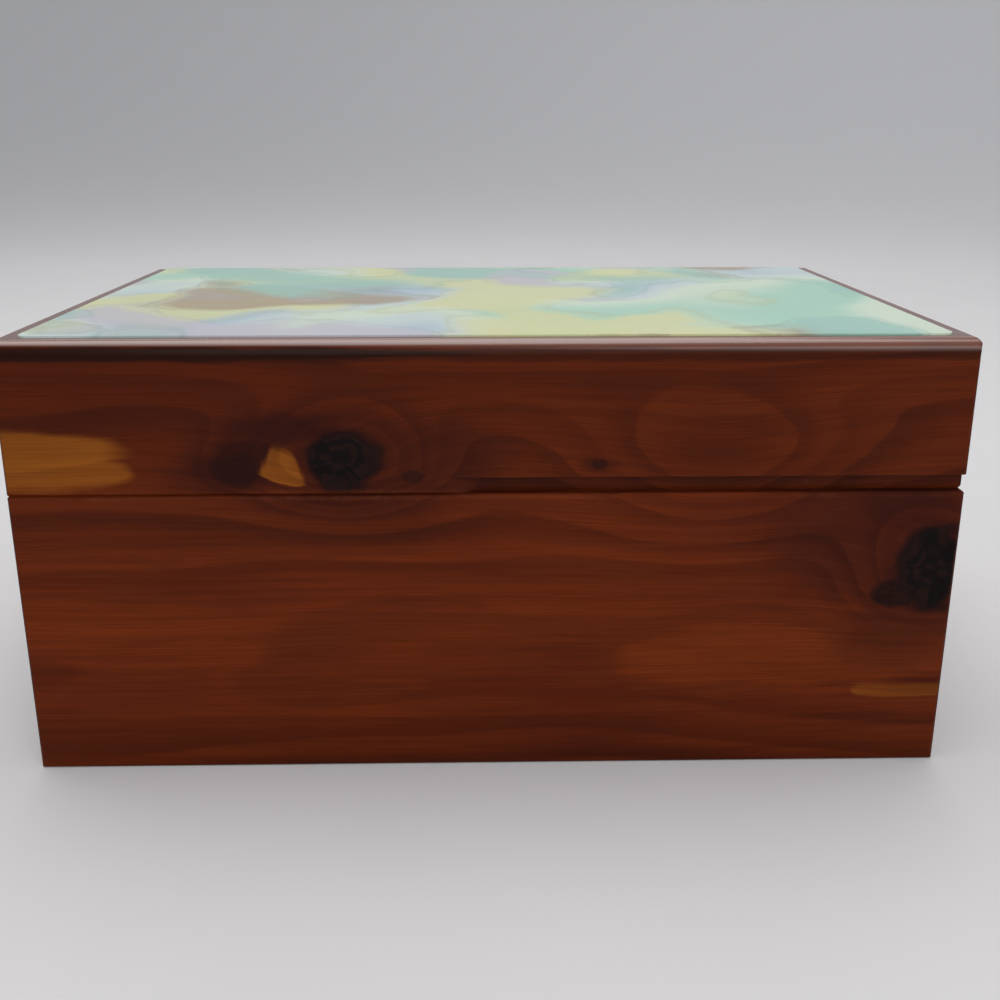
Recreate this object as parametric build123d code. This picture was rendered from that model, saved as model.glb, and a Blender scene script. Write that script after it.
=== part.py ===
from build123d import *
import os

# Cedar trinket box with a hinged lid and a printed picture on top.  Eight rabbeted boards make the
# base and the lid, a panel closes each of them, and two small brass butt hinges, nailed on the back,
# carry the lid.  Millimetres, +X right, +Y to the back, +Z up, origin on the floor under the middle.

# The box, outside
box_width = 152.4           # left to right
box_depth = 101.6           # front to back, without the hinges
base_height = 48.2          # floor to the plane where the lid meets the base
lid_height = 24.6           # that plane to the wood of the lid's top
corner_ease = 0.8           # radius of the sanded upright corners

# Boards and their corner joints
wall = 9.5                  # thickness of every upright board
corner_lip = 3.2            # what the end rabbet leaves of a front or back board

# Edges
lid_roundover = 2.6         # radius along the lid's front and back top edges
lid_end_ease = 1.0          # radius along its left and right top edges
foot_ease = 0.6             # radius along the base's lower edges
rim_bevel = 0.4             # bevel along both edges of the parting line

# Finger groove, milled by a disc into the lid's lower edge from the right end of the front
groove_height = 2.8
groove_depth = 2.2
groove_run = 74.0           # right end of the box to where the full depth stops
cutter_radius = 14.0        # of the disc, which leaves its round end in the wood

# Panels
top_thickness = 6.4
bottom_thickness = 5.0
panel_ledge = 4.5           # how far a panel reaches into its rabbet in the boards
panel_clearance = 0.2       # room for the wood to move, on each side of a panel

# Printed picture on the lid
picture_thickness = 0.3
picture_margin = 3.2        # bare wood round the picture, measured from the outside
picture_corner = 2.0

# Hinges
hinge_inset = 30.2          # outside of the box to the middle of a hinge
hinge_length = 19.0
leaf_width = 9.5            # pin axis to the outer edge of a leaf
leaf_thickness = 0.8
leaf_corner = 1.4
barrel_radius = 1.6
barrel_gap = 0.3            # between the knuckles and the back of the box
knuckle_count = 5
knuckle_gap = 0.15          # play between neighbouring knuckles
leaf_clearance = 0.25       # between a leaf and the knuckles of the other leaf
pin_radius = 0.7
pin_clearance = 0.04        # radial
pin_proud = 0.5             # how far its ends stand out of the barrel
pin_bevel = 0.3

# Nails of the hinges
nail_spacing = 10.0         # between the two nails of a leaf
nail_radius = 0.6
nail_head_radius = 1.3
nail_head_height = 0.45
nail_point = 1.2
nail_cover = 3.3            # wood left between a nail's point and the inside of the box

# Wire brads of the bottom panel, of flat wire with a T head
brad_width = 1.25
brad_thickness = 1.0
brad_head_width = 2.0
brad_head_height = 0.6
brad_tip_width = 0.4
brad_point = 1.2
brad_bite = 9.0             # how far a brad goes into the boards
brad_sink = 0.2             # how far its head lies under the surface
brads_per_long_side = 3
brads_per_short_side = 2
brad_corner_distance = 18.0  # from the outside of the box to the nearest brad

nail_hole_clearance = 0.05  # round nails and brads in the wood and in the leaves

# What follows from the sizes above
half_width = box_width / 2
half_depth = box_depth / 2
wood_height = base_height + lid_height
inside_width = box_width - 2 * wall
inside_depth = box_depth - 2 * wall
rabbet_inset = wall - panel_ledge
hinge_y = half_depth + barrel_gap + barrel_radius
hinge_z = base_height
leaf_start = barrel_radius + leaf_clearance
nail_row = (leaf_start + leaf_width) / 2
nail_length = leaf_thickness + wall - nail_cover
hinge_centres = [hinge_inset - half_width, half_width - hinge_inset]


def base_outline(span):
    """Section of the base across a span: sanded foot, bevelled rim."""
    half = span / 2
    foot = half - foot_ease
    shoulder = base_height - rim_bevel
    rim = half - rim_bevel
    return make_face([
        Line((-foot, 0), (foot, 0)),
        CenterArc((foot, foot_ease), foot_ease, 270, 90),
        Polyline(
            (half, foot_ease),
            (half, shoulder),
            (rim, base_height),
            (-rim, base_height),
            (-half, shoulder),
            (-half, foot_ease),
        ),
        CenterArc((-foot, foot_ease), foot_ease, 180, 90),
    ])


def lid_outline(span, radius):
    """Section of the lid across a span: bevelled rim, top edges rounded to a radius."""
    half = span / 2
    shoulder = base_height + rim_bevel
    rim = half - rim_bevel
    flat = half - radius
    round_start = wood_height - radius
    return make_face([
        Polyline(
            (-half, round_start),
            (-half, shoulder),
            (-rim, base_height),
            (rim, base_height),
            (half, shoulder),
            (half, round_start),
        ),
        CenterArc((flat, round_start), radius, 0, 90),
        Line((flat, wood_height), (-flat, wood_height)),
        CenterArc((-flat, round_start), radius, 90, 90),
    ])


def moulded_block(depth_section, width_section):
    """A block with one section across its depth, one across its width, and eased upright corners."""
    plan = extrude(RectangleRounded(box_width, box_depth, corner_ease), amount=wood_height)
    along_the_width = extrude(Plane.YZ * depth_section, amount=half_width, both=True)
    along_the_depth = extrude(Plane.XZ * width_section, amount=half_depth, both=True)
    return plan & along_the_width & along_the_depth


def plan_cut(width, depth, low, high):
    """A straight cut through the plan, between two heights."""
    return extrude(Plane.XY.offset(low) * Rectangle(width, depth), amount=high - low)


def panel_rabbet(low, high):
    """The recess that a panel lies in, cut into the inner edges of the boards."""
    return plan_cut(box_width - 2 * rabbet_inset, box_depth - 2 * rabbet_inset, low, high)


def panel(low, high):
    """A panel that fits its rabbet with room to move."""
    shrink = 2 * (rabbet_inset + panel_clearance)
    return plan_cut(box_width - shrink, box_depth - shrink, low, high)


def finger_groove():
    """What the disc takes out of the lid's front edge on its way in from the right."""
    stop = half_width - groove_run
    slot = Pos((stop + half_width) / 2, groove_depth / 2 - half_depth) * Rectangle(groove_run, groove_depth)
    disc = Pos(stop, groove_depth - half_depth - cutter_radius) * Circle(cutter_radius)
    return extrude(Plane.XY.offset(base_height) * (slot + disc), amount=groove_height)


def long_board_plan():
    """Plan of the front board: full width at its face, rabbeted at both ends for the sides."""
    face = Pos(0, corner_lip / 2 - half_depth) * Rectangle(box_width, corner_lip)
    body = Pos(0, wall / 2 - half_depth) * Rectangle(inside_width, wall)
    return face + body


def short_board_plan():
    """Plan of the left board, which stands between the lips of the front and the back."""
    return Pos(wall / 2 - half_width, 0) * Rectangle(wall, box_depth - 2 * corner_lip)


def boards(frame, prefix):
    """Cuts a frame into its four boards."""
    long_tool = extrude(long_board_plan(), amount=wood_height)
    short_tool = extrude(short_board_plan(), amount=wood_height)
    return {
        prefix + "_front": frame & long_tool,
        prefix + "_back": frame & mirror(long_tool, Plane.XZ),
        prefix + "_left": frame & short_tool,
        prefix + "_right": frame & mirror(short_tool, Plane.YZ),
    }


def hinge_nail():
    """A nail along Y: domed head towards +Y, its underside at the origin."""
    shank = Polyline(
        (0, nail_head_height),
        (0, -nail_length),
        (nail_radius, nail_point - nail_length),
        (nail_radius, 0),
        (nail_head_radius, 0),
    )
    dome = TangentArc((0, nail_head_height), (nail_head_radius, 0), tangent=(1, 0))
    return revolve(make_face([shank, dome]), Axis.Y)


def hinge_nail_hole():
    """The hole that a hinge nail fills in the wood."""
    depth = nail_length + 2 * nail_hole_clearance
    drill = Cylinder(nail_radius + nail_hole_clearance, depth, rotation=(90, 0, 0))
    return Pos(0, -nail_length / 2) * drill


def hinge_nail_places(side):
    """Where the nails of the lid's leaves (side 1) or the base's leaves (side -1) enter."""
    y = half_depth + leaf_thickness
    return [
        Pos(x + offset, y, hinge_z + side * nail_row)
        for x in hinge_centres
        for offset in (-nail_spacing / 2, nail_spacing / 2)
    ]


def spread(count, span):
    """Evenly spaced places from one end of a span to the other."""
    return [span * (i / (count - 1) - 0.5) for i in range(count)]


def brad(head_low, clearance):
    """A brad that stands on its head, or, with a clearance, the slot that it fills."""
    half_head = brad_head_width / 2 + clearance
    half_shank = brad_width / 2 + clearance
    half_tip = brad_tip_width / 2 + clearance
    neck = brad_sink + brad_head_height + clearance
    tip = bottom_thickness + brad_bite + clearance
    right = [
        (half_head, head_low),
        (half_head, neck),
        (half_shank, neck),
        (half_shank, tip - brad_point),
        (half_tip, tip),
    ]
    left = [(-x, z) for x, z in reversed(right)]
    outline = make_face(Polyline(*right, *left, close=True))
    return extrude(Plane.XZ * outline, amount=brad_thickness / 2 + clearance, both=True)


def brad_places():
    """Where the brads enter the underside, over the middle of the rabbet's ledge."""
    inset = wall - panel_ledge / 2
    x_row = half_width - inset
    y_row = half_depth - inset
    long_run = spread(brads_per_long_side, box_width - 2 * brad_corner_distance)
    short_run = spread(brads_per_short_side, box_depth - 2 * brad_corner_distance)
    long_places = [Pos(x, side * y_row) for x in long_run for side in (-1, 1)]
    short_places = [Pos(side * x_row, y) * Rot(0, 0, 90) for y in short_run for side in (-1, 1)]
    return long_places + short_places


def leaf_plate(centre, side):
    """The flat of a leaf: outer corners rounded, two nail holes."""
    height = leaf_width - leaf_start
    outline = Pos(0, side * (leaf_start + leaf_width) / 2) * Rectangle(hinge_length, height)
    outer_corners = outline.vertices().sort_by(Axis.Y, reverse=side > 0)[:2]
    outline = fillet(outer_corners, leaf_corner)
    for offset in (-nail_spacing / 2, nail_spacing / 2):
        outline -= Pos(offset, side * nail_row) * Circle(nail_radius + nail_hole_clearance)
    face = Plane((centre, half_depth + leaf_thickness, hinge_z), x_dir=(1, 0, 0), z_dir=(0, -1, 0))
    return extrude(face * outline, amount=leaf_thickness)


def knuckle_section(side):
    """Section of a knuckle rolled out of its leaf, round the pin."""
    tab_height = leaf_start + leaf_thickness
    tab_place = Pos(leaf_thickness / 2 - barrel_radius - barrel_gap, side * tab_height / 2)
    tab = tab_place * Rectangle(leaf_thickness, tab_height)
    return Circle(barrel_radius) + tab - Circle(pin_radius + pin_clearance)


def leaf(centre, side):
    """One leaf of a hinge with its knuckles: the lid's (side 1) or the base's (side -1)."""
    piece = leaf_plate(centre, side)
    pitch = hinge_length / knuckle_count
    first = 1 if side > 0 else 0
    for k in range(first, knuckle_count, 2):
        start = centre - hinge_length / 2 + k * pitch + knuckle_gap / 2
        roll = Plane((start, hinge_y, hinge_z), x_dir=(0, 1, 0), z_dir=(1, 0, 0))
        piece += extrude(roll * knuckle_section(side), amount=pitch - knuckle_gap)
    return piece


def hinge_pin(centre):
    """The pin through a hinge's knuckles, with bevelled ends."""
    rod = Cylinder(pin_radius, hinge_length + 2 * pin_proud)
    rod = chamfer(rod.edges().filter_by(GeomType.CIRCLE), pin_bevel)
    return Pos(centre, hinge_y, hinge_z) * Rot(0, 90, 0) * rod


def build():
    """Every piece of the box, by name."""
    cavity = plan_cut(inside_width, inside_depth, 0, wood_height)
    base_block = moulded_block(base_outline(box_depth), base_outline(box_width))
    base_frame = base_block - cavity - panel_rabbet(0, bottom_thickness)
    lid_block = moulded_block(lid_outline(box_depth, lid_roundover), lid_outline(box_width, lid_end_ease))
    lid_frame = lid_block - cavity - panel_rabbet(wood_height - top_thickness, wood_height)
    lid_frame -= finger_groove()

    pieces = {**boards(base_frame, "base"), **boards(lid_frame, "lid")}
    pieces["base_bottom_panel"] = panel(0, bottom_thickness)
    pieces["lid_top_panel"] = panel(wood_height - top_thickness, wood_height)

    picture_plan = RectangleRounded(
        box_width - 2 * picture_margin, box_depth - 2 * picture_margin, picture_corner
    )
    pieces["lid_picture"] = extrude(Plane.XY.offset(wood_height) * picture_plan, amount=picture_thickness)

    for name, centre in zip(("left", "right"), hinge_centres):
        pieces[f"hinge_{name}_base_leaf"] = leaf(centre, -1)
        pieces[f"hinge_{name}_lid_leaf"] = leaf(centre, 1)
        pieces[f"hinge_{name}_pin"] = hinge_pin(centre)

    for owner, side in (("base", -1), ("lid", 1)):
        places = hinge_nail_places(side)
        pieces[f"hinge_nails_{owner}"] = Compound([place * hinge_nail() for place in places])
        for place in places:
            pieces[f"{owner}_back"] -= place * hinge_nail_hole()

    pieces["bottom_brads"] = Compound([place * brad(brad_sink, 0) for place in brad_places()])
    for owner in ("base_front", "base_back", "base_left", "base_right", "base_bottom_panel"):
        for place in brad_places():
            pieces[owner] -= place * brad(0, nail_hole_clearance)
    return pieces


def main():
    os.makedirs("parts", exist_ok=True)
    for name, piece in build().items():
        export_step(piece, f"parts/{name}.step")


main()
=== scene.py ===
import math
from collections import namedtuple

import bmesh
import bpy
from mathutils import Matrix, Vector


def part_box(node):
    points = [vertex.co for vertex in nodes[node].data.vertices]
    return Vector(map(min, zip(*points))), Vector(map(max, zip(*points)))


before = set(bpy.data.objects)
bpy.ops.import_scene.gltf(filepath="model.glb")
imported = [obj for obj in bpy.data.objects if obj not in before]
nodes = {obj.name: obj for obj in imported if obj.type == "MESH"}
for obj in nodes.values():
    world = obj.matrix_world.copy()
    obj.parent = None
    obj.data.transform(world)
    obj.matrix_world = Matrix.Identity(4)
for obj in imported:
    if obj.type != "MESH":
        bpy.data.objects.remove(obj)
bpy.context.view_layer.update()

# Sizes read from the solids, in millimetres.
MM = 1000.0
base_front_low, base_front_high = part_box("base_front")
half_width = base_front_high.x * MM
half_depth = -base_front_low.y * MM
inner_depth = -base_front_high.y * MM
rim_height = base_front_high.z * MM
inner_width = -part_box("base_left")[1].x * MM
lid_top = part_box("lid_front")[1].z * MM
corner_joint = -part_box("base_left")[0].y * MM
picture_half_width, picture_half_depth = (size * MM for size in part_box("lid_picture")[1][:2])

# Sizes of the milled edges, the same as in the part.
rim_bevel = 0.4
roundover = 2.6
groove_height, groove_depth = 2.8, 2.2
groove_left = -5.5


def paint(red, green, blue):
    """A colour as a paint chart gives it, 0 to 255, for a shader socket."""
    def channel(value):
        value /= 255.0
        return value / 12.92 if value <= 0.04045 else ((value + 0.055) / 1.055) ** 2.4
    return channel(red), channel(green), channel(blue), 1.0


class Signal:
    """A number that changes over a surface, with the sums that the finishes need."""

    def __init__(self, graph, socket):
        self.graph = graph
        self.socket = socket

    def __add__(self, other):
        return self.graph.math("ADD", self, other)

    def __sub__(self, other):
        return self.graph.math("SUBTRACT", self, other)

    def __rsub__(self, other):
        return self.graph.math("SUBTRACT", other, self)

    def __mul__(self, other):
        return self.graph.math("MULTIPLY", self, other)

    def __truediv__(self, other):
        return self.graph.math("DIVIDE", self, other)

    def __abs__(self):
        return self.graph.math("ABSOLUTE", self)

    def root(self):
        return self.graph.math("SQRT", self)

    def sine(self):
        return self.graph.math("SINE", self)

    def exponential(self):
        return self.graph.math("EXPONENT", self)

    def fraction(self):
        return self.graph.math("FRACT", self)

    def floor(self):
        return self.graph.math("FLOOR", self)

    def lower(self, other):
        return self.graph.math("MINIMUM", self, other)

    def higher(self, other):
        return self.graph.math("MAXIMUM", self, other)

    def step(self, start, end):
        """Smoothly 0 at start and 1 at end; start may be the larger."""
        node = self.graph.add("ShaderNodeMapRange", interpolation_type="SMOOTHSTEP")
        self.graph.fill(node, {"Value": self, "From Min": start, "From Max": end})
        return Signal(self.graph, node.outputs["Result"])

    def between(self, low, high):
        """A value of 0 to 1 stretched to lie between two others."""
        return self * (high - low) + low


class Graph:
    """Short calls for the shader nodes of one material or one node group."""

    def __init__(self, tree):
        self.tree = tree

    def add(self, kind, **settings):
        node = self.tree.nodes.new(kind)
        for name, value in settings.items():
            setattr(node, name, value)
        return node

    def feed(self, socket, value):
        if isinstance(value, Signal):
            value = value.socket
        if isinstance(value, bpy.types.NodeSocket):
            self.tree.links.new(value, socket)
        else:
            socket.default_value = value

    def fill(self, node, values):
        for name, value in values.items():
            self.feed(node.inputs[name], value)

    def math(self, operation, first, second=0.0):
        node = self.add("ShaderNodeMath", operation=operation)
        self.feed(node.inputs[0], first)
        self.feed(node.inputs[1], second)
        return Signal(self, node.outputs[0])

    def vector(self, x, y, z):
        node = self.add("ShaderNodeCombineXYZ")
        self.fill(node, {"X": x, "Y": y, "Z": z})
        return node.outputs[0]

    def place(self):
        """Where the surface is in the box's own frame, in millimetres."""
        scale = self.add("ShaderNodeVectorMath", operation="SCALE")
        self.feed(scale.inputs[0], self.add("ShaderNodeTexCoord").outputs["Object"])
        self.feed(scale.inputs["Scale"], MM)
        parts = self.add("ShaderNodeSeparateXYZ")
        self.feed(parts.inputs[0], scale.outputs[0])
        return [Signal(self, socket) for socket in parts.outputs]

    def noise(self, vector, scale=1.0, detail=2.0, roughness=0.5, distortion=0.0):
        node = self.add("ShaderNodeTexNoise")
        self.fill(node, {"Vector": vector, "Scale": scale, "Detail": detail,
                         "Roughness": roughness, "Distortion": distortion})
        return Signal(self, node.outputs[0])

    def blend(self, share, first, second):
        """Two colours mixed by a share of 0 to 1."""
        node = self.add("ShaderNodeMix", data_type="RGBA")
        factor, first_colour, second_colour = (node.inputs[index] for index in (0, 6, 7))
        self.feed(factor, share)
        self.feed(first_colour, first)
        self.feed(second_colour, second)
        return node.outputs[2]

    def colours(self, share, stops):
        """A run of colours along a value of 0 to 1."""
        node = self.add("ShaderNodeValToRGB")
        ramp = node.color_ramp
        ramp.interpolation = "EASE"
        while len(ramp.elements) < len(stops):
            ramp.elements.new(1.0)
        for element, (position, colour) in zip(ramp.elements, stops):
            element.position = position
            element.color = colour
        self.feed(node.inputs[0], share)
        return node.outputs[0]

    def use(self, group, **values):
        """Places a node group and gives its outputs by name."""
        node = self.add("ShaderNodeGroup", node_tree=group)
        for name, value in values.items():
            self.feed(node.inputs[name.replace("_", " ")], value)
        outputs = {}
        for socket in node.outputs:
            outputs[socket.name] = socket if socket.type == "RGBA" else Signal(self, socket)
        return outputs


VALUE = "NodeSocketFloat"
COLOUR = "NodeSocketColor"


def effect(name, inputs, outputs):
    """Starts a node group; gives its graph, its input values and the node that takes its outputs."""
    tree = bpy.data.node_groups.new(name, "ShaderNodeTree")
    for label in inputs:
        tree.interface.new_socket(name=label, in_out="INPUT", socket_type=VALUE)
    for label, kind in outputs.items():
        tree.interface.new_socket(name=label, in_out="OUTPUT", socket_type=kind)
    graph = Graph(tree)
    start = graph.add("NodeGroupInput")
    end = graph.add("NodeGroupOutput")
    values = {label: Signal(graph, start.outputs[label]) for label in inputs}
    return graph, values, end


def make_cedar_figure():
    """Growth rings round a pith, fibres along the grain, and slow changes of tone and of redness."""
    graph, at, end = effect(
        "cedar_figure",
        ["Along", "Across", "Depth", "Bend", "Ring Width", "Seed"],
        {"Ring": VALUE, "Fibre": VALUE, "Tone": VALUE, "Blush": VALUE},
    )
    seed_stride = 37.0
    along, across, depth = at["Along"] + at["Seed"] * seed_stride, at["Across"], at["Depth"]

    def drawn_out(lengthwise, crosswise, level=across, layer=0.0, **look):
        """Noise with its own rate of change along the grain and across it, per millimetre."""
        spot = graph.vector(along * lengthwise, level * crosswise, depth * crosswise + layer)
        return graph.noise(spot, **look)

    # Rings stray from true circles by some millimetres, and knots bend them further.
    wander_reach, wobble_reach = 14.0, 0.9
    wander = drawn_out(0.006, 0.022)
    wobble = drawn_out(0.028, 0.16, detail=1.5)
    drift = (wander - 0.5) * wander_reach + (wobble - 0.5) * wobble_reach + at["Bend"]
    radius = (across * across + depth * depth).root() + drift

    # Rings differ in width and in strength, and end sharply at the late wood.
    uneven = graph.noise(graph.vector(radius * 0.16, at["Seed"], 0.0), detail=1.0)
    phase = radius / at["Ring Width"] + uneven * 3.0
    turn = phase.fraction()
    late = turn.step(0.1, 0.86) * turn.step(1.0, 0.9)
    vigour = graph.noise(graph.vector(phase.floor() * 0.37, at["Seed"], 4.0), scale=3.0, detail=0.0)
    ring = late * vigour.step(0.25, 0.7).between(0.15, 1.0)

    # Fibres follow the drift of the rings half way.
    level = across + drift * 0.5
    coarse = drawn_out(0.016, 0.9, level, detail=4.0, roughness=0.65)
    fine = drawn_out(0.07, 5.0, level, roughness=0.6)
    dashes = drawn_out(0.20, 6.5, level, detail=1.0).step(0.67, 0.78)
    fibre = (coarse * 0.5 + fine * 0.5).step(0.36, 0.64).higher(dashes)

    tone = drawn_out(0.008, 0.06, layer=9.0).step(0.28, 0.72)
    blush = drawn_out(0.014, 0.05, layer=21.0).step(0.45, 0.75)
    graph.fill(end, {"Ring": ring, "Fibre": fibre, "Tone": tone, "Blush": blush})
    return graph.tree


def make_cedar_knot():
    """A branch through a board: its dark core, the stain round it and the grain it pushes aside."""
    graph, at, end = effect(
        "cedar_knot",
        ["Along", "Across", "Centre Along", "Centre Across", "Half Length", "Half Height"],
        {"Core": VALUE, "Stain": VALUE, "Bend": VALUE, "Heart": VALUE},
    )
    along = (at["Along"] - at["Centre Along"]) / at["Half Length"]
    across = (at["Across"] - at["Centre Across"]) / at["Half Height"]
    grain_spot = graph.vector(at["Along"] * 0.22, at["Across"] * 0.3, at["Centre Along"])
    ragged = graph.noise(grain_spot, detail=3.0)
    stray = ragged - 0.5

    reach = (along * along + across * across).root() + stray * 0.7
    core = reach.step(1.14, 0.78)
    spread = (along * along * 0.16 + across * across * 0.36).root()
    stain = (spread + stray * 0.35).step(1.25, 0.3)
    bend = (spread * spread * -1.4).exponential()

    rings = (reach * 15.0 + ragged * 6.0).sine() * 0.5 + 0.5
    turn = graph.math("ARCTAN2", across, along)
    check_spot = graph.vector(turn * 1.7, reach * 0.5, at["Centre Across"])
    checks = graph.noise(check_spot, detail=3.0).step(0.56, 0.50)
    graph.fill(end, {"Core": core, "Stain": stain, "Bend": bend, "Heart": rings * checks * core})
    return graph.tree


def make_wood_streak():
    """A streak of another colour in the wood, with uneven flanks and a rounded point at each end."""
    graph, at, end = effect(
        "wood_streak",
        ["Along", "Across", "Start", "End", "Centre", "Half Height", "Start Taper", "End Taper",
         "Softness"],
        {"Streak": VALUE},
    )
    grain_spot = graph.vector(at["Along"] * 0.09, at["Across"] * 0.55, at["Centre"])
    stray = graph.noise(grain_spot, detail=3.0) - 0.5
    left = ((at["Along"] - at["Start"]) / at["Start Taper"]).lower(1.0).higher(0.0)
    right = ((at["End"] - at["Along"]) / at["End Taper"]).lower(1.0).higher(0.0)
    ends = left * right
    height = at["Half Height"] * ends.root()
    edge = abs(at["Across"] - at["Centre"]) - height + stray * at["Softness"] * 2.6
    streak = (edge / at["Softness"]).step(0.7, -1.0) * ends.step(0.0, 0.35)
    graph.fill(end, {"Streak": streak})
    return graph.tree


def make_box_finish():
    """Where the box is bare, rubbed, polished by hands (a band that also gets a painted warm highlight),
    smudged, scratched and dirty, and where shade is painted into the finger groove and along the parting
    line.
    """
    graph, at, end = effect(
        "box_finish",
        ["X", "Y", "Z"],
        {"Bare": VALUE, "Rub": VALUE, "PolishAndSheen": VALUE, "Smudge": VALUE, "Scratch": VALUE, "Grime": VALUE},
    )
    x, y, z = at["X"], at["Y"], at["Z"]
    spot = graph.vector(x, y, z)
    side_x = half_width - abs(x)
    side_y = half_depth - abs(y)
    inset = side_x.lower(side_y)
    above_rim = z - rim_height
    below_top = z - lid_top

    # The lacquer creeps a little way over the rims; from there inwards the wood is bare.
    seep = graph.noise(spot, scale=0.5, detail=3.0, roughness=0.6)
    outward = (abs(x) - inner_width).higher(abs(y) - inner_depth) + (seep - 0.5)
    lacquered_from, bare_from = 7.2, 6.0
    bare = outward.step(lacquered_from, bare_from) * below_top.step(-0.5, -1.5)

    # Upright corners and the edges of the parting line are rubbed in places.
    upright_edge = side_x.higher(side_y)
    level_edge = abs(abs(above_rim) - rim_bevel).lower(abs(z)) + inset
    worn = graph.noise(spot, scale=0.07, detail=3.0, roughness=0.6).step(0.40, 0.68)
    nicks = graph.noise(spot, scale=1.1, detail=3.0, roughness=0.6).step(0.35, 0.75)
    rub_width, rub_heart = 0.75, 0.1
    upright_rub = upright_edge.step(rub_width, rub_heart)
    level_rub = level_edge.step(rub_width, rub_heart) * 0.4
    rub = upright_rub.higher(level_rub) * worn * nicks.between(0.35, 1.0)

    # Hands have polished the top edge, further down towards the right; in the wood's colour this band is
    # also a painted warm highlight.
    handled = x.step(-60.0, 70.0)
    polish_reach = handled.between(0.40, 0.80) * roundover
    polish_and_sheen = (below_top / polish_reach).step(-1.0, -0.3)
    polish_and_sheen = polish_and_sheen * side_x.step(0.02, 0.3) * handled.between(1.0, 0.82)

    smudge = graph.noise(spot, scale=0.045, detail=3.0, roughness=0.6, distortion=0.4).step(0.42, 0.72)
    hair_spot = graph.vector(x * 0.05 + z * 0.4, y * 0.05 + z * 0.4, z * 3.4 + x * 0.22 + y * 0.22)
    scratched = graph.noise(spot, scale=0.03, detail=1.0).step(0.5, 0.62)
    scratch = graph.noise(hair_spot).step(0.69, 0.72) * scratched

    # Painted shade darkens the finger groove and the parting line; dirt darkens the corner joints.
    inward = y + half_depth
    groove_front = inward.step(0.2, 0.7) * inward.step(groove_depth + 0.5, groove_depth + 0.1)
    half_groove = groove_height / 2
    groove_span = abs(above_rim - half_groove).step(half_groove + 0.4, half_groove + 0.05)
    groove_shade = groove_front * groove_span * x.step(groove_left, groove_left + 3.0)
    seam_shade = abs(above_rim).step(0.4, 0.1) * inset.step(0.15, 0.4)
    in_joint = abs(abs(y) - corner_joint).step(0.22, 0.05)
    shade_and_grime = (groove_shade * 0.4).higher(seam_shade * 0.6).higher(in_joint) * (1.0 - bare)
    graph.fill(end, {"Bare": bare, "Rub": rub, "PolishAndSheen": polish_and_sheen, "Smudge": smudge, "Scratch": scratch,
                     "Grime": shade_and_grime})
    return graph.tree


# Colours of red cedar under its dark lacquer, and raw.
LACQUERED = dict(
    early=(paint(92, 33, 8), paint(110, 43, 12)),
    late=(paint(52, 15, 5), paint(66, 21, 6)),
    fibre=paint(44, 13, 5), blush=paint(70, 20, 12), pale=paint(120, 50, 14), dark=paint(34, 13, 6),
    sap=(paint(146, 83, 23), paint(104, 52, 13)), sap_fibre=paint(88, 42, 9),
    stain=paint(42, 12, 9), knot=(paint(14, 8, 8), paint(32, 16, 12)), end_grain=paint(48, 17, 8),
)
RAW = dict(
    early=(paint(200, 128, 92), paint(214, 148, 108)),
    late=(paint(146, 76, 54), paint(168, 94, 66)),
    fibre=paint(142, 76, 54), blush=paint(166, 84, 76), pale=paint(222, 162, 118), dark=paint(126, 66, 46),
    sap=(paint(232, 202, 152), paint(206, 166, 116)), sap_fibre=paint(198, 156, 106),
    stain=paint(118, 58, 42), knot=(paint(58, 30, 22), paint(98, 54, 38)), end_grain=paint(150, 88, 62),
)
# The tan below is worn wood, and on the polished top edge a painted warm highlight.
RUBBED_WOOD_AND_SHEEN = paint(146, 82, 44)
# The near-black brown below paints shade into the finger groove and along the parting line, and dirt into
# the corner joints.
SHADE_AND_DIRT = paint(26, 11, 7)

# How far each mark covers the colour under it.
RING_SHARE, SAP_RING_SHARE = 0.62, 0.60
FIBRE_SHARE, BLUSH_SHARE, END_GRAIN_SHARE = 0.40, 0.35, 0.50
RUB_AND_SHEEN_SHARE, SHADE_AND_GRIME_SHARE = 0.45, 0.40


def timber(graph, at, early, late, fibre, blush, pale, dark, sap, sap_fibre, stain, knot, end_grain):
    """The figure of the wood in one palette."""
    early_wood = graph.blend(at["Tone"], *early)
    late_wood = graph.blend(at["Tone"], *late)
    wood = graph.blend(at["Ring"] * RING_SHARE, early_wood, late_wood)
    wood = graph.blend(at["Blush"] * BLUSH_SHARE, wood, blush)
    wood = graph.blend(at["Pale"], wood, pale)
    wood = graph.blend(at["Fibre"] * FIBRE_SHARE, wood, fibre)
    wood = graph.blend(at["Dark"], wood, dark)
    yellow = graph.blend(at["Ring"] * SAP_RING_SHARE, *sap)
    yellow = graph.blend(at["Fibre"] * FIBRE_SHARE, yellow, sap_fibre)
    wood = graph.blend(at["Sapwood"], wood, yellow)
    wood = graph.blend(at["Stain"], wood, stain)
    wood = graph.blend(at["Core"], wood, graph.blend(at["Heart"], *knot))
    return graph.blend(at["End Grain"] * END_GRAIN_SHARE, wood, end_grain)


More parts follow.
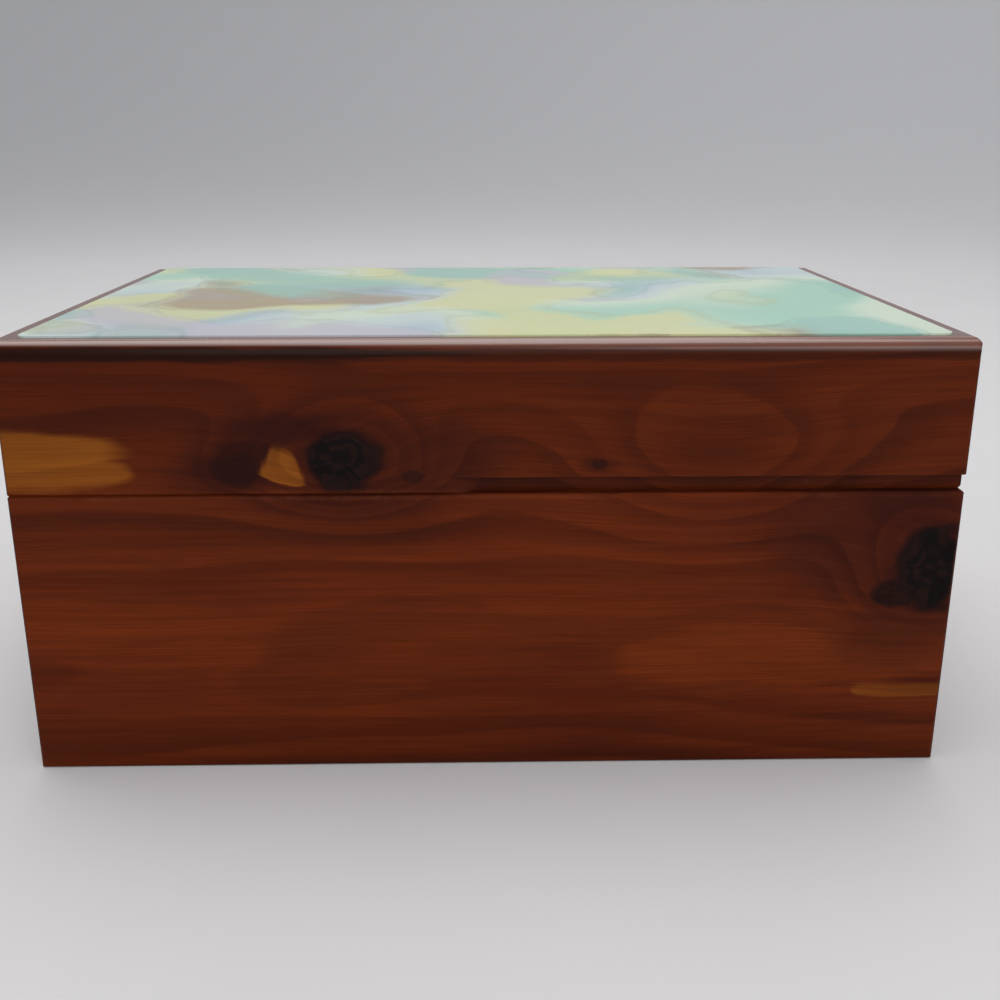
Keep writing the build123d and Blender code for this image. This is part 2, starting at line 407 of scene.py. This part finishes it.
def make_cedar_colour():
    """The colour of red cedar from its figure, lacquered or raw, with its wear, a painted warm highlight on
    the polished top edge, painted shade in the finger groove and along the parting line, and dirt in the
    corner joints.
    """
    graph, at, end = effect(
        "cedar_colour",
        ["Ring", "Fibre", "Tone", "Blush", "Sapwood", "Pale", "Dark", "Core", "Stain", "Heart",
         "End Grain", "Bare", "Rub", "Grime"],
        {"Colour": COLOUR},
    )
    wood = graph.blend(at["Bare"], timber(graph, at, **LACQUERED), timber(graph, at, **RAW))
    # Wear, and on the polished top edge a painted warm highlight.
    wood = graph.blend(at["Rub"] * RUB_AND_SHEEN_SHARE, wood, RUBBED_WOOD_AND_SHEEN)
    # Painted shade in the finger groove and along the parting line; dirt in the corner joints.
    wood = graph.blend(at["Grime"] * SHADE_AND_GRIME_SHARE, wood, SHADE_AND_DIRT)
    graph.fill(end, {"Colour": wood})
    return graph.tree


CEDAR_FIGURE = make_cedar_figure()
CEDAR_KNOT = make_cedar_knot()
WOOD_STREAK = make_wood_streak()
BOX_FINISH = make_box_finish()
CEDAR_COLOUR = make_cedar_colour()


def start_material(name):
    """A new material; gives it with its graph and its Principled shader."""
    material = bpy.data.materials.new(name)
    material.use_nodes = True
    graph = Graph(material.node_tree)
    shader = material.node_tree.nodes["Principled BSDF"]
    return material, graph, shader


def roughen(graph, shader, height, relief):
    """A bump from a height of 0 to 1, with its relief in millimetres."""
    bump = graph.add("ShaderNodeBump")
    bump.inputs["Strength"].default_value = 1.0
    bump.inputs["Distance"].default_value = relief / MM
    graph.feed(bump.inputs["Height"], height)
    graph.feed(shader.inputs["Normal"], bump.outputs[0])


# Marks in a board, in millimetres along and across its grain, with shares of 0 to 1.
Knot = namedtuple(
    "Knot", "along across half_length half_height push core stain", defaults=(0.0, 0.0, 0.0)
)
Streak = namedtuple(
    "Streak", "start end centre half_height taper softness strength start_taper", defaults=(0.7, 1.0, None)
)
PAST_START, PAST_END = -300.0, 300.0
FLECK_LEAN = 0.25
RING_WIDTH = 2.3

# Finish of the boards.
LACQUER_ROUGHNESS, RAW_ROUGHNESS = 0.30, 0.66
LACQUER_RELIEF, RAW_RELIEF = 0.16, 1.0
FACE_GLOSS, EDGE_GLOSS = 0.03, 1.0
# How much of the polished top edge is painted tan as a warm highlight.
POLISH_SHEEN_SHARE = 0.6
GRAIN_RELIEF = 0.05


def mark_streaks(graph, along, across, streaks):
    """The strongest of several streaks at each place."""
    strongest = 0.0
    for streak in streaks:
        found = graph.use(
            WOOD_STREAK, Along=along, Across=across, Start=streak.start, End=streak.end,
            Centre=streak.centre, Half_Height=streak.half_height,
            Start_Taper=streak.start_taper or streak.taper, End_Taper=streak.taper,
            Softness=streak.softness,
        )
        strongest = (found["Streak"] * streak.strength).higher(strongest)
    return strongest


def cedar(name, grain, pith, seed, knots=(), sapwood=(), fleck=(), pale=(), dark=(), all_bare=False):
    """Red cedar for the boards of one side.

    grain names the axes along the grain, across it on the board's face, and through the board.
    sapwood, pale and dark streaks run along the grain, flecks of sapwood across it.
    """
    material, graph, shader = start_material(name)
    place = dict(zip("xyz", graph.place()))
    along, across, depth = (place[axis] for axis in grain)

    bend = core = stain = heart = 0.0
    for knot in knots:
        found = graph.use(
            CEDAR_KNOT, Along=along, Across=across, Centre_Along=knot.along, Centre_Across=knot.across,
            Half_Length=knot.half_length, Half_Height=knot.half_height,
        )
        bend = found["Bend"] * knot.push + bend
        core = (found["Core"] * knot.core).higher(core)
        stain = (found["Stain"] * knot.stain).higher(stain)
        heart = (found["Heart"] * knot.core).higher(heart)

    yellow = mark_streaks(graph, along, across, sapwood)
    if fleck:
        bright = mark_streaks(graph, across + along * FLECK_LEAN, along, fleck)
        yellow = bright.higher(yellow)
        core, stain = core * (1.0 - bright), stain * (1.0 - bright)
    figure = graph.use(
        CEDAR_FIGURE, Along=along, Across=across - pith[0], Depth=depth - pith[1],
        Bend=bend, Ring_Width=RING_WIDTH, Seed=seed,
    )
    finish = graph.use(BOX_FINISH, X=place["x"], Y=place["y"], Z=place["z"])
    end_grain = abs(along).step(half_width - 0.7, half_width - 0.1)
    bare = 1.0 if all_bare else finish["Bare"]
    # The rub share also paints a warm highlight on the polished top edge.
    colour = graph.use(
        CEDAR_COLOUR, Ring=figure["Ring"], Fibre=figure["Fibre"], Tone=figure["Tone"],
        Blush=figure["Blush"], Sapwood=yellow, Pale=mark_streaks(graph, along, across, pale),
        Dark=mark_streaks(graph, along, across, dark), Core=core, Stain=stain, Heart=heart,
        End_Grain=end_grain, Bare=bare, Grime=finish["Grime"],
        Rub=finish["Rub"].higher(finish["PolishAndSheen"] * POLISH_SHEEN_SHARE),
    )["Colour"]
    graph.feed(shader.inputs["Base Color"], colour)

    dull = finish["Smudge"] * 0.10 + finish["Scratch"] * 0.15 + figure["Fibre"] * 0.06
    relief = figure["Fibre"] * 0.7 + figure["Ring"] * 0.5
    if all_bare:
        roughness = dull + RAW_ROUGHNESS
    else:
        roughness = dull + finish["Bare"].between(LACQUER_ROUGHNESS, RAW_ROUGHNESS) + finish["Rub"] * 0.2
        relief = relief * finish["Bare"].between(LACQUER_RELIEF, RAW_RELIEF)
        gloss = finish["PolishAndSheen"].between(FACE_GLOSS, EDGE_GLOSS)
        gloss = gloss * (1.0 - finish["Bare"]) * (1.0 - finish["Rub"] * 0.7)
        graph.feed(shader.inputs["Coat Weight"], gloss)
        shader.inputs["Coat Roughness"].default_value = 0.20
        shader.inputs["Coat IOR"].default_value = 2.0
    graph.feed(shader.inputs["Roughness"], roughness)
    shader.inputs["Specular IOR Level"].default_value = 0.03
    roughen(graph, shader, relief - finish["Scratch"] * 0.3, GRAIN_RELIEF)
    return material


def cover(material, slot, *names):
    """Gives CAD nodes their finish."""
    for name in names:
        mesh = nodes[name].data
        mesh.materials.clear()
        mesh.materials.append(material)


# The front boards of base and lid were sawn from one piece, so the rings run on across the parting line.
front_grain = dict(grain="xzy", pith=(26.0, 40.0), seed=1.0)
front_swirl = Knot(36.0, 52.0, 10.0, 9.0, push=7.0)
base_front = cedar(
    "cedar_base_front", **front_grain,
    knots=[
        Knot(72.0, 35.3, 6.0, 7.6, push=12.0, core=1.0, stain=0.75),
        Knot(66.6, 30.8, 3.8, 2.7, core=0.8, stain=0.6),
        Knot(60.0, 40.0, 8.0, 7.5, stain=0.60),
        Knot(67.0, 46.0, 6.0, 4.5, stain=0.72),
        Knot(67.5, 24.0, 5.5, 4.4, stain=0.55),
        Knot(-22.0, 51.0, 9.0, 4.0, stain=0.75),
        Knot(-23.2, 54.0, 6.2, 6.0, push=13.0, stain=0.25),
        front_swirl,
    ],
    sapwood=[
        Streak(60.5, PAST_END, centre=13.2, half_height=1.15, taper=2.0, softness=0.5, strength=0.5),
    ],
    pale=[
        Streak(PAST_START, PAST_END, centre=25.5, half_height=4.5, taper=20.0, softness=2.5, strength=0.30),
        Streak(18.0, 84.0, centre=20.0, half_height=6.5, taper=18.0, softness=3.0, strength=0.75),
        Streak(-4.0, 40.0, centre=41.0, half_height=7.0, taper=16.0, softness=4.0, strength=0.15),
        Streak(-50.0, -8.0, centre=15.5, half_height=4.5, taper=16.0, softness=3.0, strength=0.24),
    ],
    dark=[
        Streak(PAST_START, PAST_END, centre=3.5, half_height=6.0, taper=20.0, softness=1.4, strength=0.22),
        Streak(PAST_START, -4.0, centre=43.5, half_height=6.5, taper=25.0, softness=3.0, strength=0.24),
    ],
)
lid_front = cedar(
    "cedar_lid_front", **front_grain,
    knots=[
        Knot(-23.2, 54.0, 6.2, 5.2, push=13.0, core=1.0, stain=0.6),
        Knot(-39.8, 52.6, 3.8, 3.2, push=2.0, core=0.40, stain=0.9),
        Knot(-37.8, 55.6, 3.6, 1.9, core=0.15, stain=0.85),
        Knot(-32.0, 58.8, 5.6, 2.2, stain=0.8),
        Knot(-8.0, 54.0, 5.0, 4.6, stain=0.52),
        Knot(-44.5, 51.0, 4.0, 2.4, stain=0.4),
        Knot(-15.0, 49.2, 6.5, 2.6, stain=0.58),
        front_swirl,
        Knot(-12.2, 51.2, 2.0, 1.2, push=1.0, core=0.45, stain=0.6),
        Knot(17.3, 53.0, 1.4, 0.9, push=0.8, core=0.5, stain=0.5),
    ],
    sapwood=[
        Streak(PAST_START, -54.5, centre=55.4, half_height=3.7, taper=20.0, softness=0.8),
        Streak(PAST_START, -55.0, centre=51.8, half_height=2.6, taper=6.0, softness=0.9, strength=0.70),
    ],
    fleck=[
        Streak(41.8, 48.8, centre=-32.6, half_height=3.9, taper=6.5, strength=0.9, start_taper=0.8),
    ],
    dark=[
        # Painted dark reflection along the lower half of the top front roundover, darkest at the left and
        # fading towards the right.
        Streak(PAST_START, 20.0, centre=70.7, half_height=1.35, taper=90.0, softness=0.5, strength=0.97),
        Streak(PAST_START, 200.0, centre=70.5, half_height=1.2, taper=150.0, softness=0.6, strength=0.62),
        # Painted shade: the whole lid front a shade darker than the base front.
        Streak(PAST_START, PAST_END, centre=62.0, half_height=40.0, taper=20.0, softness=3.0, strength=0.16),
        Streak(36.0, 76.0, centre=58.5, half_height=4.5, taper=14.0, softness=3.0, strength=0.28),
    ],
)
back = cedar(
    "cedar_back", "xzy", pith=(30.0, -48.0), seed=5.0,
    knots=[
        Knot(-34.0, 18.0, 5.0, 4.4, push=11.0, core=1.0, stain=0.6),
        Knot(22.0, 60.0, 3.6, 3.2, push=8.0, core=0.9, stain=0.6),
    ],
    sapwood=[Streak(30.0, PAST_END, centre=6.0, half_height=4.2, taper=22.0)],
)
left = cedar(
    "cedar_left", "yzx", pith=(38.0, 44.0), seed=8.0,
    knots=[Knot(14.0, 30.0, 5.2, 4.8, push=11.0, core=1.0, stain=0.6)],
    sapwood=[Streak(PAST_START, 10.0, centre=64.0, half_height=4.6, taper=26.0)],
)
right = cedar(
    "cedar_right", "yzx", pith=(34.0, -46.0), seed=11.0,
    knots=[
        Knot(-22.0, 56.0, 4.4, 4.2, push=10.0, core=1.0, stain=0.6),
        Knot(30.0, 15.0, 3.0, 2.6, push=8.0, core=0.9, stain=0.6),
    ],
    sapwood=[Streak(-20.0, PAST_END, centre=24.0, half_height=3.4, taper=30.0)],
)
lid_lining = cedar(
    "cedar_lid_lining", "xyz", pith=(8.0, 20.0), seed=14.0, all_bare=True,
    knots=[Knot(38.0, -18.0, 6.0, 5.4, push=12.0, core=0.9, stain=0.5)],
    sapwood=[Streak(PAST_START, 60.0, centre=34.0, half_height=9.0, taper=40.0)],
)
floor_lining = cedar(
    "cedar_floor_lining", "xyz", pith=(-12.0, -40.0), seed=17.0, all_bare=True,
    knots=[
        Knot(-40.0, 16.0, 7.0, 6.0, push=12.0, core=0.9, stain=0.5),
        Knot(46.0, -24.0, 3.5, 3.0, push=8.0, core=0.8, stain=0.5),
    ],
    sapwood=[Streak(-30.0, PAST_END, centre=-38.0, half_height=8.0, taper=40.0)],
)
cover(base_front, "cedar_boards", "base_front")
cover(lid_front, "cedar_boards", "lid_front")
cover(back, "cedar_boards", "base_back", "lid_back")
cover(left, "cedar_boards", "base_left", "lid_left")
cover(right, "cedar_boards", "base_right", "lid_right")
cover(lid_lining, "cedar_panels", "lid_top_panel")
cover(floor_lining, "cedar_panels", "base_bottom_panel")


def washed_print():
    """A print of soft washes in mint, blue-grey, straw and brown, under a gloss varnish."""
    material, graph, shader = start_material("picture_print")
    x, y = graph.place()[:2]
    spot = graph.vector(x, y, 0.0)

    def strayed(across, down, layer, reach, **look):
        """How far the colour strays at a place, in millimetres."""
        return (graph.noise(graph.vector(across, down, layer), **look) - 0.5) * reach

    drift_x = x + strayed(x, y, 5.0, reach=44.0, scale=0.018)
    drift_y = y + strayed(x, y, 31.0, reach=44.0, scale=0.018)
    curl_x = drift_x + strayed(drift_x, drift_y, 57.0, reach=11.0, scale=0.08, detail=3.0)
    curl_y = drift_y + strayed(drift_x, drift_y, 83.0, reach=11.0, scale=0.08, detail=3.0)

    def cloud(layer):
        """One ink's own clouds, 0 to 1."""
        return graph.noise(graph.vector(curl_x, curl_y, layer), scale=0.024, detail=1.0)

    inks = graph.colours(cloud(12.0).step(0.22, 0.78), [
        (0.00, paint(158, 184, 200)),
        (0.35, paint(196, 210, 208)),
        (0.60, paint(206, 222, 200)),
        (1.00, paint(160, 206, 184)),
    ])
    Wash = namedtuple("Wash", "layer edge body rim")
    for wash in (
        Wash(140.0, 0.54, paint(212, 212, 152), paint(180, 178, 118)),
        Wash(310.0, 0.57, paint(164, 142, 112), paint(122, 100, 76)),
        Wash(390.0, 0.57, paint(190, 186, 196), paint(158, 154, 170)),
        Wash(470.0, 0.58, paint(148, 194, 180), paint(112, 162, 148)),
    ):
        ink = cloud(wash.layer)
        inks = graph.blend(ink.step(wash.edge, wash.edge + 0.07) * 0.85, inks, wash.body)
        inks = graph.blend(abs(ink - (wash.edge + 0.01)).step(0.016, 0.0) * 0.30, inks, wash.rim)
    paper_grain = graph.noise(spot, scale=1.4, detail=3.0, roughness=0.65).step(0.35, 0.7)
    inks = graph.blend(paper_grain * 0.10, inks, paint(120, 128, 120))
    border = (picture_half_width - abs(x)).lower(picture_half_depth - abs(y))
    chafe = graph.noise(spot, scale=0.5, detail=3.0, roughness=0.6).step(0.6, 0.75) * border.step(0.7, 0.05)
    inks = graph.blend(chafe * 0.7, inks, paint(176, 150, 126))
    graph.feed(shader.inputs["Base Color"], inks)
    mottle = graph.noise(spot, scale=0.12, detail=3.0)
    graph.feed(shader.inputs["Roughness"], mottle.between(0.28, 0.46))
    shader.inputs["Specular IOR Level"].default_value = 0.3
    shader.inputs["Coat Weight"].default_value = 0.3
    shader.inputs["Coat Roughness"].default_value = 0.12
    roughen(graph, shader, graph.noise(spot, scale=0.5), relief=0.02)
    return material


cover(washed_print(), "picture_print", "lid_picture")


def make_metal_age():
    """Brushing, tarnish and pits on small metal pieces."""
    graph, at, end = effect(
        "metal_age", ["X", "Y", "Z"], {"Tarnish": VALUE, "Brush": VALUE, "Pit": VALUE}
    )
    x, y, z = at["X"], at["Y"], at["Z"]
    spot = graph.vector(x, y, z)
    tarnish = graph.noise(spot, scale=0.42, detail=4.0, roughness=0.62).step(0.42, 0.72)
    brush = graph.noise(graph.vector(x * 0.5, y * 3.0, z * 7.0), detail=3.0, roughness=0.6)
    pit = graph.noise(spot, scale=3.2).step(0.66, 0.74)
    graph.fill(end, {"Tarnish": tarnish, "Brush": brush, "Pit": pit})
    return graph.tree


METAL_AGE = make_metal_age()


def aged_metal(name, bright, dark, stain, smoothest):
    """A metal gone dull in patches; smoothest is its roughness where it is still bright."""
    material, graph, shader = start_material(name)
    x, y, z = graph.place()
    age = graph.use(METAL_AGE, X=x, Y=y, Z=z)
    colour = graph.blend(age["Tarnish"] * 0.75, bright, dark)
    colour = graph.blend(age["Pit"] * 0.6, colour, stain)
    graph.feed(shader.inputs["Base Color"], colour)
    shader.inputs["Metallic"].default_value = 1.0
    roughness = age["Tarnish"] * 0.2 + age["Brush"] * 0.14 + age["Pit"] * 0.15 + smoothest
    graph.feed(shader.inputs["Roughness"], roughness)
    roughen(graph, shader, age["Brush"] * 0.5 - age["Pit"], relief=0.012)
    return material


brass = aged_metal(
    "hinge_brass", bright=paint(214, 172, 92), dark=paint(150, 108, 52), stain=paint(70, 46, 24),
    smoothest=0.22,
)
steel = aged_metal(
    "brad_steel", bright=paint(168, 166, 162), dark=paint(120, 112, 104), stain=paint(84, 60, 44),
    smoothest=0.30,
)
cover(brass, "hinge_brass", "hinge_left_base_leaf", "hinge_right_base_leaf", "hinge_left_lid_leaf",
      "hinge_right_lid_leaf", "hinge_left_pin", "hinge_right_pin", "hinge_nails_base", "hinge_nails_lid")
cover(steel, "brad_steel", "bottom_brads")


def make_stage():
    """A pale round table that curves up all round, so that every side of the box has the same ground."""
    flat, curve, wall = 0.75, 0.45, 0.35
    mesh = bmesh.new()
    middle = mesh.verts.new((0.0, 0.0, 0.0))
    turn = mesh.verts.new((0.0, flat, 0.0))
    mesh.edges.new((middle, turn))
    bend = bmesh.ops.spin(
        mesh, geom=[turn], cent=(0.0, flat, curve), axis=(1.0, 0.0, 0.0),
        angle=math.radians(90.0), steps=16,
    )
    top = [item for item in bend["geom_last"] if isinstance(item, bmesh.types.BMVert)][0]
    rise = mesh.verts.new(top.co + Vector((0.0, 0.0, wall)))
    mesh.edges.new((top, rise))
    bmesh.ops.spin(
        mesh, geom=mesh.verts[:] + mesh.edges[:], cent=(0.0, 0.0, 0.0), axis=(0.0, 0.0, 1.0),
        angle=math.radians(360.0), steps=96, use_merge=True,
    )
    bmesh.ops.remove_doubles(mesh, verts=mesh.verts[:], dist=1e-5)
    bmesh.ops.recalc_face_normals(mesh, faces=mesh.faces[:])
    data = bpy.data.meshes.new("table_sheet")
    mesh.to_mesh(data)
    mesh.free()
    for face in data.polygons:
        face.use_smooth = True
    sheet = bpy.data.objects.new("table_sheet", data)
    bpy.context.scene.collection.objects.link(sheet)
    return sheet


def sheet_paper():
    """Matt pale paper, with painted shade: greyer where it rises behind the box, and darker towards the left
    there.
    """
    material, graph, shader = start_material("table_paper")
    x, y, z = graph.place()
    mottle = graph.noise(graph.vector(x, y, z), scale=0.02, detail=3.0)
    pale = graph.blend(mottle, paint(210, 208, 208), paint(215, 213, 213))
    wall_span, grey_height = 1200.0, 30.0
    # Painted shade on the rise: grey, darker at the left than at the right.
    from_left = (x / wall_span + 0.5).step(0.0, 1.0)
    wall = graph.blend(from_left, paint(168, 168, 170), paint(185, 185, 187))
    rise = 1.0 - (z / -grey_height).exponential()
    graph.feed(shader.inputs["Base Color"], graph.blend(rise, pale, wall))
    shader.inputs["Roughness"].default_value = 0.9
    shader.inputs["Specular IOR Level"].default_value = 0.1
    return material


make_stage().data.materials.append(sheet_paper())


def lamp(name, place, target, size, power, colour=(1.0, 1.0, 1.0)):
    """A soft rectangular lamp that looks at a target."""
    light = bpy.data.lights.new(name, "AREA")
    light.shape = "RECTANGLE"
    light.size, light.size_y = size
    light.energy = power
    light.color = colour
    holder = bpy.data.objects.new(name, light)
    holder.location = place
    holder.rotation_euler = (Vector(target) - Vector(place)).to_track_quat("-Z", "Y").to_euler()
    bpy.context.scene.collection.objects.link(holder)


lamp("overhead_softbox", place=(-0.06, 0.16, 0.95), target=(0.0, 0.02, 0.03), size=(1.0, 0.8), power=5.0,
     colour=(1.0, 0.99, 0.98))
lamp("front_fill", place=(0.12, -0.90, 0.62), target=(0.0, 0.0, 0.03), size=(1.0, 0.7), power=5.0)
lamp("sweep_light", place=(0.1, 0.92, 0.85), target=(0.1, 0.87, 0.0), size=(1.4, 0.4), power=1.8)

world = bpy.data.worlds.new("studio")
bpy.context.scene.world = world
world.use_nodes = True
room_light = world.node_tree.nodes["Background"]
room_light.inputs["Color"].default_value = (0.92, 0.95, 1.0, 1.0)
room_light.inputs["Strength"].default_value = 0.50


def make_camera():
    """The photograph's view: close, a little above the lid, almost square to the front."""
    pitch, roll, yaw = math.radians(17.49), math.radians(0.02), math.radians(1.22)
    place = (-0.0021, -0.2264, 0.1026)
    forward = Vector((math.sin(yaw) * math.cos(pitch), math.cos(yaw) * math.cos(pitch), -math.sin(pitch)))
    level = Vector((math.cos(yaw), -math.sin(yaw), 0.0))
    upright = level.cross(forward)
    right_hand = level * math.cos(roll) + upright * math.sin(roll)
    overhead = upright * math.cos(roll) - level * math.sin(roll)
    data = bpy.data.cameras.new("camera")
    data.lens = 41.70
    data.sensor_width = 36.0
    data.clip_start = 0.01
    holder = bpy.data.objects.new("camera", data)
    turn = Matrix((right_hand, overhead, -forward)).transposed().to_4x4()
    holder.matrix_world = Matrix.Translation(place) @ turn
    bpy.context.scene.collection.objects.link(holder)
    bpy.context.scene.camera = holder


make_camera()
bpy.context.scene.view_settings.view_transform = "Standard"
